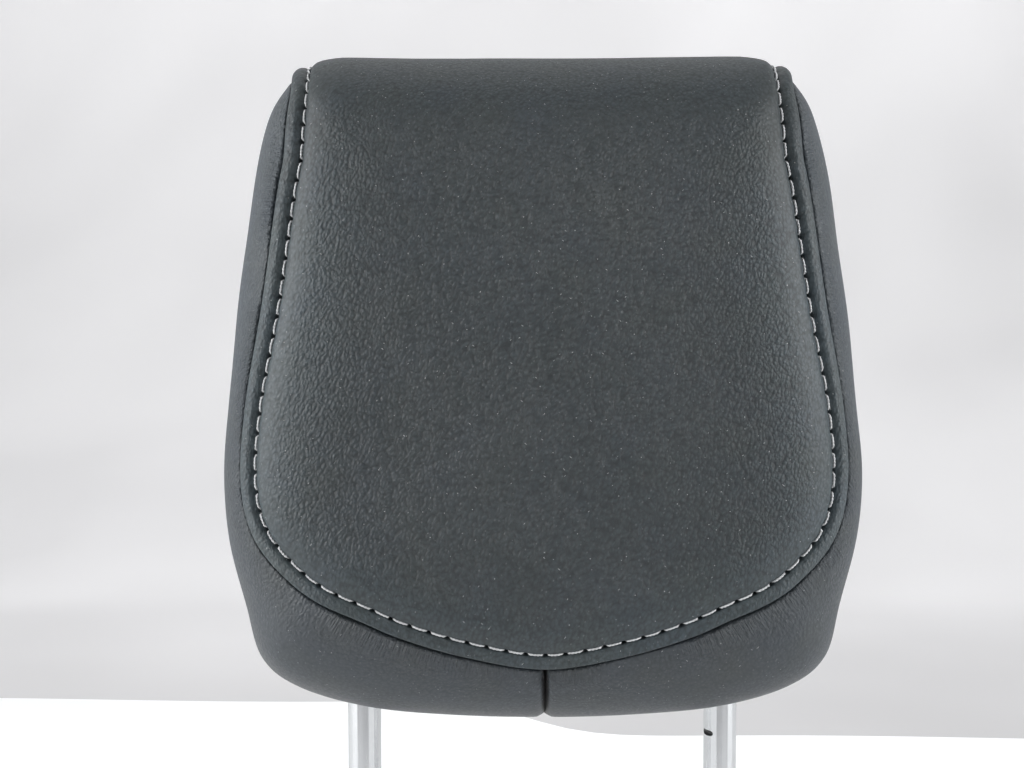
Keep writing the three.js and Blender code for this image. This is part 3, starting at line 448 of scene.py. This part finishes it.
def leather(name, dark, light, turn, smooth_near=None, gathered=False):
    """Pigmented cowhide: a fine grain drawn out one way, lint specks and stray fibres.

    With smooth_near the grain fades within that distance of the seam, and a painted highlight
    lightens the hide on the band and inward from it, most along the sides; with gathered it is
    ridged square to the seam and calms down away from it, and it is painted darker low down as
    shade and lighter higher up as light. Everywhere the crease mark darkens the colour nearly to
    black as painted shade in seams, valleys and needle holes.
    """
    f = Finish(name)
    here = f.place()
    level = f.level(here)
    distance = f.node("Attribute", {"attribute_name": "from_seam"}, {}, out="Fac")
    crease_shade_mark = f.node("Attribute", {"attribute_name": "painted_crease_shade"}, {}, out="Fac")
    warp = f.scaled(f.noise(here, 150.0, 2).other("Color"), 0.0022)

    def grain_place(scale):
        return f.node("VectorMath", {"operation": "ADD"}, {0: f.place(scale, turn), 1: warp})

    pebbles = f.node("TexVoronoi", {}, {"Vector": grain_place((1, 1, 1.45)), "Scale": 900.0}) - 0.04
    creases = f.noise(grain_place((1, 1, 1.7)), 800, 4, 0.65)
    wide = f.noise(grain_place((1, 1, 1.6)), 380, 2, 0.5)
    tone = f.noise(here, 9, 3)
    flecks = f.noise(here, 900, 2)
    strength = 0.3 + 1.1 * f.noise(here, 16, 2)
    grain = 0.85 * (1 - pebbles) + 0.9 * creases + 0.25 * wide
    mix = 0.3 * tone + 0.25 * flecks + 1.3 * (creases - 0.5) + 0.7 * (0.5 - pebbles)
    colour = f.colours(mix, dark, light)
    if smooth_near:
        on_band = f.ramp(distance, 6.0, 8.5, 0.45, 0.0)
        strength = strength * (on_band + f.ramp(distance, smooth_near, smooth_near * 2.2, 0.15))
        strength = strength * f.ramp(level, 0.236, 0.256, 1.0, 0.2)
        # Painted highlight: the hide is lighter within about 42 mm of the seam, most within 10 mm and
        # partway up the sides, and a little lighter again on the band outside the stitching.
        painted_highlight = f.ramp(distance, 10.0, 42.0, 0.72, 0.0, "SMOOTHSTEP")
        painted_highlight = painted_highlight * f.ramp(level, 0.06, 0.11, 0.3) * f.ramp(level, 0.18, 0.24, 1.0, 0.1)
        painted_highlight = painted_highlight + f.ramp(distance, 7.5, 9.0, 0.22, 0.0)
        colour = f.scaled(colour, 1 + painted_highlight)
    height = grain * strength
    if gathered:
        calm = f.ramp(distance, 7.0, 22.0, 0.9, 0.2) * f.ramp(level, 0.03, 0.06, 0.3)
        along = f.node("Attribute", {"attribute_name": "along_seam"}, {}, out="Fac")
        ridge_place = f.node("CombineXYZ", {}, {"X": along * 1.25, "Y": distance * 0.14, "Z": 0.0})
        ridges = f.noise(ridge_place, 1.05, 2)
        fade = f.ramp(distance, 0.3, 1.6) * f.ramp(distance, 4.0, 11.0, 1.0, 0.0)
        patches = f.ramp(f.noise(here, 30, 1), 0.38, 0.6)
        height = height * calm + 3.0 * ridges * fade * patches
        # Painted shade and light: the side hide is darker low down under the chin and lighter higher
        # up.
        colour = f.scaled(colour, f.ramp(level, 0.03, 0.16, 0.7, 1.15))
    tint = f.colours(f.noise(here, 55, 2), (0.9, 0.98, 1.13), (1.06, 1.03, 0.9))
    colour = f.node("VectorMath", {"operation": "MULTIPLY"}, {0: colour, 1: tint})
    # Painted shade: the crease mark darkens the colour nearly to black in seams, valleys and needle
    # holes.
    colour = f.colours(0.93 * crease_shade_mark, colour, (0.001, 0.001, 0.001))
    # Lint: dust, round specks, and fibres that lie two ways. Each is a cell's middle, shown
    # within a size of it and for a share of the cells.
    lint = 0.0
    for scale, stretch, lean, size, share, weight in (
            (640.0, (1, 1, 1.5), (0.3, 0.3, 0.2), 0.16, 0.4, 0.12),
            (400.0, (1, 1, 1), (0, 0, 0), 0.065, 0.4, 0.85),
            (640.0, (1, 1, 6), (0.2, 0.7, 0), 0.06, 0.3, 0.85),
            (640.0, (1, 1, 6), (0.1, -0.9, 0), 0.06, 0.3, 0.85)):
        from_middle = f.node("TexVoronoi", {}, {"Vector": f.place(stretch, lean), "Scale": scale})
        chance = f.node("SeparateColor", {}, {"Color": from_middle.other("Color")})
        lint = lint + weight * (from_middle < size) * (chance < share)
    lint = f.node("Math", {"operation": "MINIMUM"}, {0: lint, 1: 0.85})
    return f.surface(
        Base_Color=f.colours(lint, colour, (0.36, 0.37, 0.37)),
        Roughness=0.4 + 0.16 * tone + 0.12 * pebbles,
        Normal=f.bump(height, 0.00068, 1.0), IOR=1.5)


front_leather.data.materials.append(leather(
    "front_hide", (0.011, 0.0155, 0.0175), (0.0325, 0.043, 0.048), (0.3, 0.3, 0.2),
    smooth_near=13.0))
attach(front_leather, "root")
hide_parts("front_panel")

# Topstitch. Light grey bonded thread of two twisted strands, sewn through the folded
# edge. Each stitch rises out of one needle hole, lies in the valley and dips into the
# next, a little aslant.
strand_radius, strand_circle, twist_pitch = 0.26, 0.19, 2.4
stitch_sections, strand_sides = 16, 6
hole_share = 0.09
stitch_inward = seam_inward(front_run)
stitch_normal = skin_normal(stitch_line)


def on_stitch_line(run):
    """Point, normal and inward direction on the stitch line, on either half."""
    run = np.asarray(run, float)
    out = []
    for field in (stitch_line, stitch_normal, stitch_inward):
        v = np.stack([np.interp(np.abs(run), stitch_run, field[:, k]) for k in range(3)], -1)
        out.append(np.where((run < 0)[..., None], v * [-1, 1, 1], v))
    return out


thread_points, thread_faces = [], []
stitch_count = int((stitch_run[-1] - 1.5) / stitch_pitch)
for stitch in range(-stitch_count, stitch_count):
    t = np.linspace(hole_share, 1 - hole_share, stitch_sections)
    run = (stitch + t) * stitch_pitch
    centre, normal, inward = on_stitch_line(run)
    ease = np.clip((np.minimum(t, 1 - t) - hole_share) / hole_share, 0, 1)
    height = -3.3 + 2.45 * np.sin(ease * np.pi / 2) + 0.2 * np.sin(np.pi * t)
    height += 0.45 * (1 - round_corner(np.abs(run))) * ease
    slant = 0.4 - 0.22 * np.sin(np.pi * t)
    centre = centre + normal * height[:, None] + inward * slant[:, None]
    way = np.gradient(centre, axis=0)
    way /= np.linalg.norm(way, axis=1, keepdims=True)
    side = np.cross(normal, way)
    side /= np.linalg.norm(side, axis=1, keepdims=True)
    up = np.cross(way, side)
    for strand in (0, np.pi):
        angle = run / twist_pitch * 2 * np.pi + strand
        twist = np.cos(angle)[:, None] * side + np.sin(angle)[:, None] * up
        core = centre + strand_circle * twist
        ring = np.arange(strand_sides) * 2 * np.pi / strand_sides
        rim = np.cos(ring)[None, :, None] * side[:, None] + np.sin(ring)[None, :, None] * up[:, None]
        base = len(thread_points) * stitch_sections * strand_sides
        thread_points.append((core[:, None] + strand_radius * rim).reshape(-1, 3))
        for i in range(stitch_sections - 1):
            for k in range(strand_sides):
                a = base + i * strand_sides + k
                b = base + i * strand_sides + (k + 1) % strand_sides
                thread_faces.append((a, b, b + strand_sides, a + strand_sides))
thread_mesh = bpy.data.meshes.new("topstitch")
thread_mesh.from_pydata((np.vstack(thread_points) * 0.001).tolist(), [], thread_faces)
thread_mesh.polygons.foreach_set("use_smooth", [True] * len(thread_mesh.polygons))
topstitch = bpy.data.objects.new("topstitch", thread_mesh)
bpy.context.scene.collection.objects.link(topstitch)
f = Finish("bonded_thread")
fuzz = f.noise(f.place(), 2600, 3, 0.6)
topstitch.data.materials.append(f.surface(
    Base_Color=f.colours(fuzz, (0.42, 0.43, 0.44), (0.72, 0.73, 0.74)),
    Roughness=0.55 + 0.2 * fuzz, Normal=f.bump(fuzz, 0.0001, 0.6)))
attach(topstitch, "root")
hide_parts("topstitch_thread")

# Side panels. Leather on thin foam, pulled round the side and under the cushion. The two
# meet at a short open seam under the chin, and gather a little where they are sewn to
# the curved edge of the front panel.
centre_gap = 0.62
seam_lip = 0.13
slot_half, slot_taper = 3.0, 5.0
post_x, hole_reach, hole_top = 69.0, 8.6, 50.0
strip_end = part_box("closure_hook_strip")[1][0] * 1000


def closure_at(x):
    """The line on the underside where the cover closes."""
    low, high = np.full(len(x), middle_z), np.full(len(x), underside - 10)
    y = np.full(len(x), seam_line[-1, 1])
    for _ in range(44):
        between = (low + high) / 2
        inside = skin_value(np.stack([x, y, between], -1)) < 0
        low, high = np.where(inside, between, low), np.where(inside, high, between)
    return np.stack([x, y, (low + high) / 2], -1)


def closure_edge(x, way):
    """The cover's edge on one side of the closure slot."""
    on_line = closure_at(x)
    along = closure_at(x + 0.5) - closure_at(x - 0.5)
    back = np.cross(along, skin_normal(on_line))
    back /= np.linalg.norm(back, axis=-1, keepdims=True)
    half = seam_lip + (slot_half - seam_lip) * np.clip((strip_end + 1 - x) / slot_taper, 0, 1)
    p = on_line
    for _ in range(4):
        p = to_skin(p + back * (way * half / 4)[:, None])
    return p


def side_edge(run):
    """The side panel's edge beside the long seam."""
    return walk(seam_at(run), -seam_inward(run), seam_lip)[0]


def resample(line, places):
    """Points at given distances along a polyline, row by row."""
    step = np.linalg.norm(np.diff(line, axis=1), axis=2)
    run = np.concatenate([np.zeros((len(line), 1)), np.cumsum(step, 1)], 1)
    out = np.empty((len(line), places.shape[1], 3))
    for i in range(len(line)):
        for k in range(3):
            out[i, :, k] = np.interp(places[i], run[i], line[i, :, k])
    return out


# Each row crosses the panel from the seam in front to the closure or the seam behind. The
# first rows lie close together beside the open seam under the chin.
lip_run = centre_gap + np.array([0, 0.02, 0.22, 0.42, 0.66, 1.0, 1.7, 2.9])
low_run = np.r_[lip_run, np.linspace(lip_run[-1], seam_corner, 83)[1:]]
up_step = np.linspace(0, 1, 230)[1:]
side_run = np.r_[low_run, seam_corner + (seam_top - seam_corner) * up_step]
rear_x = np.interp(low_run, [centre_gap, lip_run[-1], seam_corner],
                   [centre_gap, lip_run[-1], seam_line[-1, 0]])
rear_run = seam_total + (seam_top - seam_total) * up_step
from_edge = side_edge(side_run)
to_edge = np.vstack([closure_edge(rear_x, -1), side_edge(rear_run)])
ends = [skin_angles(e) for e in (from_edge, to_edge)]
fine = np.linspace(0, 1, 160)[None, :]
chart = [ends[0][k][:, None] * (1 - fine) + ends[1][k][:, None] * fine for k in (0, 1)]
chart_points = skin_point(*chart)
total = np.linalg.norm(np.diff(chart_points, axis=1), axis=2).sum(1)
near = np.r_[0, 0.02, 0.12, 0.25, 0.45, 0.8, 1.2, 1.7, 2.3, 3, 3.8, 4.7, 5.7, 6.8, 8, 9.4, 11]
shrink = np.minimum(1, total / 40)[:, None]
inner_places = 11 * shrink + (total[:, None] - 22 * shrink) * np.linspace(0, 1, 34)[None, 1:-1]
far_places = total[:, None] - near[None, ::-1] * shrink
places = np.concatenate([near[None] * shrink, inner_places, far_places], 1)
side_rows = to_skin(resample(chart_points, places))
side_distance = seam_nearest(side_rows)[0]
side_profile = rounded_profile([
    (0, -seam_deep), (0.12, -1.5), (0.28, -0.65), (0.6, -0.28), (1.4, -0.1), (3.2, -0.03), (6, 0.04),
    (10, 0.08), (18, 0)], 0.1)

# The open seam: both edges roll in, widest halfway and again at the bottom edge.
lip_shape = rounded_profile([
    (0, 1), (0.3, 0.8), (0.6, 0.3), (0.95, 0.09), (1.6, 0.02), (2.8, 0)], 0.07)
from_centre = np.abs(side_rows[..., 0]) - centre_gap + 0.35 * (side_rows[..., 1] > 18)
gape = 0.75 + 0.6 * np.sin(np.pi * np.clip((side_rows[..., 2] - 20) / 30, 0, 1))
gape += 1.5 * np.clip((27 - side_rows[..., 2]) / 6, 0, 1)
lip = lip_shape(np.maximum(from_centre, 0) / gape) * (np.arange(len(side_run)) < 12)[:, None]
lip_depth = np.interp(side_rows[..., 2], [22, 36], [1.9, seam_deep])
side_height = side_profile(side_distance) - lip_depth * lip

# The hem along the closure slot turns in.
hem = np.abs(side_rows[..., 1] - to_edge[:, None, 1])
under = (side_rows[..., 2] < 45) & (np.arange(len(side_run)) < len(low_run))[:, None]
side_height = side_height - np.where(under, 1.1 * np.exp(-(hem / 0.8) ** 2), 0)


def gathers(run, distance, seed, count, low, high, strength):
    """Short creases square to the seam, fading away from it."""
    rng = np.random.default_rng(seed)
    total_height = np.zeros_like(distance)
    for _ in range(count):
        at = rng.uniform(low, high)
        wide = rng.uniform(0.6, 1.2)
        long_ = rng.uniform(3, 8)
        deep = rng.uniform(0.3, 1) * strength
        lean = rng.uniform(-0.25, 0.25)
        offset = run[:, None] + lean * distance - at
        rise = np.clip(distance / 1.5, 0, 1) * np.exp(-(distance / long_) ** 2)
        total_height -= deep * np.exp(-(offset / wide) ** 2) * rise
    return total_height


front_side = np.arange(side_rows.shape[1])[None, :] < side_rows.shape[1] // 2
for name, node_name, seed, mirror in (
        ("right_side_leather", "right_side_panel", 21, 1),
        ("left_side_leather", "left_side_panel", 22, -1)):
    pulls = gathers(side_run, side_distance, seed, 46, 0.25 * seam_corner, seam_corner + 30, 0.16)
    pulls += gathers(side_run, side_distance, seed + 5, 40, seam_corner + 30, seam_top - 40, 0.1)
    points = along_normal(side_rows, side_height + np.where(front_side, pulls, 0))
    swell = np.clip(side_distance / 15, 0, 1)
    points = along_normal(points, 0.25 * wander(points * [mirror, 1, 1], 60, 8) * swell)
    points[..., 0] *= 1 - np.clip((lip - 0.28) / 0.6, 0, 1)
    wave = 0.28 * np.sin((points[..., 2] - 20) / 30 * np.pi * 1.4)
    wave = wave * np.exp(-np.maximum(from_centre, 0) / 4)
    points[..., 0] += mirror * np.where(points[..., 2] < 60, wave, 0)

    def clear_of_post(middle):
        from_post = np.hypot(middle[:, 0] * mirror - post_x, middle[:, 1])
        return (from_post > hole_reach) | (middle[:, 2] > hole_top)

    # Painted shade: the crease mark darkens the colour nearly to black in the seam and where the lips
    # of the open seam roll in.
    fold_shade = np.clip((-side_height - 1.2) / 1.4, 0, 1) + np.clip((lip - 0.3) / 0.3, 0, 1)
    panel = leather_sheet(
        name, points * [mirror, 1, 1], flip=mirror > 0, keep=clear_of_post,
        marks={"painted_crease_shade": fold_shade, "from_seam": np.where(front_side, side_distance, 40),
               "along_seam": np.broadcast_to(side_run[:, None] + seed * 9, side_distance.shape)})
    panel.data.materials.append(leather(
        name.replace("leather", "hide"), (0.027, 0.034, 0.04), (0.043, 0.052, 0.06),
        (0.3, -0.55 * mirror, 0.2), gathered=True))
    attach(panel, "root")
    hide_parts(node_name)

# Back panel. One plain piece of leather, sewn to the front panel along the cross seam and
# to the side panels along the long seam. Its lower hem carries one strip of the closure
# on the underside.
back_run = np.r_[
    seam_cross + np.r_[0.12, 0.14, 0.4, 0.8, 1.3, 2, 3, 4.2, 6],
    np.arange(seam_cross + 8, seam_total - 9, 2.4)]
back_rings = np.r_[0.13, 0.15, 0.35, 0.65, 1, 1.5, 2.1, 2.8, 3.7, 4.8, 6, 8, 10, 12, 14]
back_rows = rows_across(back_run, back_rings, np.linspace(0, 1, 30)[1:])
reach_x = (seam_line[-1, 0] - seam_lip) / back_rows[-1, 0, 0]
last_row = closure_edge(back_rows[-1, :, 0] * reach_x, 1)
blend = np.linspace(0, 1, 8)[1:, None, None]
tail = to_skin(back_rows[-1][None] * (1 - blend) + last_row[None] * blend)
back_rows = np.concatenate([back_rows, tail])
back_distance = seam_nearest(back_rows)[0]
back_from_cross = np.r_[back_run - seam_cross, np.full(len(tail), 99)]
back_height = side_profile(back_distance) + cross_profile(back_from_cross)[:, None]
back_height[-1] -= 1.1
back_height = np.maximum(back_height, -seam_deep)
back_points = both_halves(back_rows, back_height)
swell = np.clip(mirrored(back_distance) / 15, 0, 1)
back_points = along_normal(back_points, 0.3 * wander(back_points, 60, 12) * swell)
# Painted shade: the crease mark darkens the colour nearly to black in the seams.
back_leather = leather_sheet("back_leather", back_points, marks={
    "painted_crease_shade": mirrored(np.clip((-back_height - 1.2) / 1.4, 0, 1)),
    "from_seam": mirrored(back_distance)})
back_leather.data.materials.append(leather(
    "back_hide", (0.027, 0.034, 0.04), (0.043, 0.052, 0.06), (0.2, 0.4, 0.1)))
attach(back_leather, "root")
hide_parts("back_panel")

# Post frame. One steel tube bent into both posts and the crossbar inside the cushion,
# plated and polished to a satin. The height notches are milled across the right post, and
# their floor is painted near black as shade.
f = Finish("satin_plating")
here = f.place()
from_post = f.node("VectorMath", {"operation": "SUBTRACT"}, {0: here, 1: (post_x / 1000, 0, 0)})
across = f.node("VectorMath", {"operation": "MULTIPLY"}, {0: from_post, 1: (1, 1, 0)})
from_axis = f.node("VectorMath", {"operation": "LENGTH"}, {0: across}, out="Value")
# Painted shade: within the notches' radius on the right post, the colour is near black.
notch_shade = (from_axis < 0.00615) * (f.level(here) > -0.14)
lines = f.noise(f.place((1, 1, 50)), 2400, 3, 0.6)
spots = f.noise(here, 160, 3)
plate_colour = f.colours(0.7 * lines + 0.3 * spots, (0.42, 0.43, 0.44), (0.55, 0.56, 0.57))
post_plating = f.surface(
    Base_Color=f.colours(0.93 * notch_shade, plate_colour, (0.01, 0.01, 0.01)),
    Metallic=1.0, Roughness=0.16 + 0.12 * lines + 0.06 * spots,
    Normal=f.bump(lines, 0.00003, 0.5))


def coat(material, *starts):
    """Gives a material to each CAD node whose name starts with one of these words."""
    for node_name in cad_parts:
        if node_name.startswith(starts):
            for slot in bpy.data.objects[node_name].material_slots:
                slot.material = material


coat(post_plating, "post_frame")

# Bezels, closure strips and carrier shells. The bezels and the carrier are moulded in
# black plastic, the two strips are extruded from it and sewn to the cover's hems. All are
# matt from the tool.
f = Finish("moulded_plastic")
sparkle = f.noise(f.place(), 1800, 3, 0.6)
sink = f.noise(f.place(), 60, 2)
moulded = f.surface(
    Base_Color=f.colours(sink, (0.012, 0.012, 0.013), (0.026, 0.026, 0.028)),
    Roughness=0.42 + 0.2 * sparkle, Normal=f.bump(sparkle, 0.00008, 0.5))
coat(moulded, "left_post_bezel", "right_post_bezel", "closure_", "carrier_front", "carrier_rear")

# Carrier screws. Four zinc plated steel screws that pull the carrier's two shells
# together round the crossbar.
f = Finish("zinc_plating")
bloom = f.noise(f.place(), 900, 3)
zinc = f.surface(
    Base_Color=f.colours(bloom, (0.38, 0.39, 0.4), (0.56, 0.57, 0.58)), Metallic=1.0,
    Roughness=0.35 + 0.2 * bloom, Normal=f.bump(bloom, 0.00005, 0.4))
coat(zinc, "carrier_screw")

# Foam bun. Cream polyurethane foam, poured round the carrier in a mould, which leaves it
# a skin. The cover hides it.
f = Finish("poured_foam")
cells = f.node("TexVoronoi", {}, {"Vector": f.place(), "Scale": 700.0})
blotch = f.noise(f.place(), 40, 3)
poured = f.surface(
    Base_Color=f.colours(blotch, (0.5, 0.44, 0.27), (0.66, 0.6, 0.42)),
    Roughness=0.8 + 0.15 * cells, Normal=f.bump(cells, 0.0004, 0.7))
coat(poured, "foam_bun")

# Studio. A pale cloth is hung behind and swept forward over the table, with a white sheet
# laid on it under the posts. Both are lit by the lamps and shown a little brighter to the
# camera, without more light on the headrest.
floor_z, wall_y, wall_top, sweep = -0.150, 1.9, 4.4, 1.0
cloth_gap = 0.0006


def stage_sheet(name, rows, shade, glow, painted_shade_near, painted_light_high):
    """A sheet of the studio, from rows of points in metres, that looks as bright as glow adds.

    Painted shade dims it towards the front, down to the near level, it is full where it turns
    up, and painted light raises it towards the high level at the top of the picture. Soft noise
    paints the light and dark of cloth folds over it.
    """
    sheet = leather_sheet(name, rows * 1000)
    f = Finish(name + "_cloth")
    here = f.place()
    # Painted shade: soft diagonal noise makes the colour and glow lighter and darker in broad bands,
    # like the shade of cloth folds.
    painted_cloth_folds = f.ramp(f.noise(f.place((1, 1, 2.6), (0, 0.7, 0)), 2.4, 2, 0.45), 0.36, 0.64)
    path = f.node("LightPath", {}, {}, out="Is Camera Ray")
    seen = path + path.other("Is Glossy Ray") + path.other("Is Transmission Ray")
    # Painted shade and light: colour and glow are darker towards the front edge and lighter high up.
    fade = f.ramp(f.level(here, "Y"), 0.5, 1.0, painted_shade_near)
    fade = fade * f.ramp(f.level(here), 0.1, 0.7, 1.0, painted_light_high)
    cloth = f.colours(painted_cloth_folds, tuple(0.95 * c for c in shade), shade)
    bright = f.colours(
        painted_cloth_folds, tuple(0.86 * c * glow for c in shade), tuple(1.08 * c * glow for c in shade))
    sheet.data.materials.append(f.surface(
        Base_Color=f.scaled(cloth, fade), Roughness=0.9, Specular_IOR_Level=0.1,
        Emission_Color=f.colours(seen, (0, 0, 0), f.scaled(bright, fade)), Emission_Strength=1.0))


# The cloth runs back along the table, turns up in a wide sweep and hangs in soft folds.
bend = np.linspace(0, np.pi / 2, 60)[1:-1]
along = np.r_[
    np.linspace(-2.2, wall_y - sweep, 30), wall_y - sweep + sweep * np.sin(bend), np.full(120, wall_y)]
rise = np.r_[np.zeros(30), sweep - sweep * np.cos(bend), np.linspace(sweep, wall_top, 120)]
x, y = np.meshgrid(np.linspace(-4.5, 4.5, 320), along)
z = floor_z + np.broadcast_to(rise[:, None], x.shape)
folds = 0.05 * np.sin(x * 3 + 1.5 * z + 0.6) * np.sin(z * 2.6 + 1.3)
folds += 0.02 * np.sin(x * 6 - z * 5) + 0.008 * np.sin(x * 14 + z * 8 + 2)
y = y - folds * np.clip((z - floor_z) / 0.5, 0, 1)
cloth_rows = np.stack([x, y, z - cloth_gap], -1)
stage_sheet("backdrop", cloth_rows, (0.707, 0.702, 0.711), 0.41, 0.71, 1.24)

# The white sheet's far edge wavers, nearer on the right than on the left.
sheet_front, far_left, far_step = -0.43, 0.60, 0.055
x, share = np.meshgrid(np.linspace(-1.6, 1.6, 160), np.linspace(0, 1, 40))
far = far_left - far_step * (1 + np.tanh(x / 0.05)) + 0.008 * np.sin(x * 9)
sheet_rows = np.stack([x, sheet_front + (far - sheet_front) * share, np.full_like(x, floor_z)], -1)
stage_sheet("white_sheet", sheet_rows, (0.84, 0.845, 0.85), 0.32, 1.0, 1.0)

# The room is bright overhead and to the sides and dimmer behind the photographer.
world = bpy.data.worlds.new("studio")
bpy.context.scene.world = world
world.use_nodes = True
room = Finish("room")
room.tree = world.node_tree
room.tree.nodes.clear()
heading = room.node("TexCoord", {}, {}, out="Generated")
brightness = room.ramp(room.level(heading, "Y"), -1.0, -0.1, 0.25, 1.0, "SMOOTHSTEP")
room_light = room.node("Background", {}, {
    "Color": room.colours(brightness, (0, 0, 0), (0.97, 0.985, 1.0)), "Strength": 0.52})
room.node("OutputWorld", {}, {"Surface": room_light})


def softbox(name, at, aim, size, power):
    """A rectangular lamp at a place, turned to a point, with its size in metres and its watts."""
    lamp = bpy.data.lights.new(name, "AREA")
    lamp.shape = "RECTANGLE"
    lamp.size, lamp.size_y = size
    lamp.energy = power
    holder = bpy.data.objects.new(name, lamp)
    holder.location = at
    holder.rotation_euler = (Vector(aim) - Vector(at)).to_track_quat("-Z", "Y").to_euler()
    bpy.context.scene.collection.objects.link(holder)


# One soft lamp overhead and one each side, the left one a little stronger.
softbox("top_light", (-0.1, 0.35, 1.3), (0, 0, 0.1), (1.2, 0.9), 2.8)
softbox("left_light", (-1.0, -0.34, 0.44), (0, 0, 0.15), (0.9, 1.0), 17)
softbox("right_light", (1.0, -0.44, 0.44), (0, 0, 0.15), (0.9, 1.0), 14)

# Camera at the photographer's place, about 520 mm in front of the posts. It looks 3 degrees
# down.
focal_pixels, picture_wide = 1355.12, 1024
camera = bpy.data.cameras.new("camera")
camera.sensor_fit = "HORIZONTAL"
camera.sensor_width = 36
camera.lens = camera.sensor_width * focal_pixels / picture_wide
camera.clip_start = 0.01
viewer = bpy.data.objects.new("camera", camera)
viewer.location = (-0.0112, -0.51924, 0.17217)
viewer.rotation_euler = (math.radians(90 - 3.0), math.radians(0.2), 0)
bpy.context.scene.collection.objects.link(viewer)
bpy.context.scene.camera = viewer
bpy.context.scene.view_settings.view_transform = "Standard"
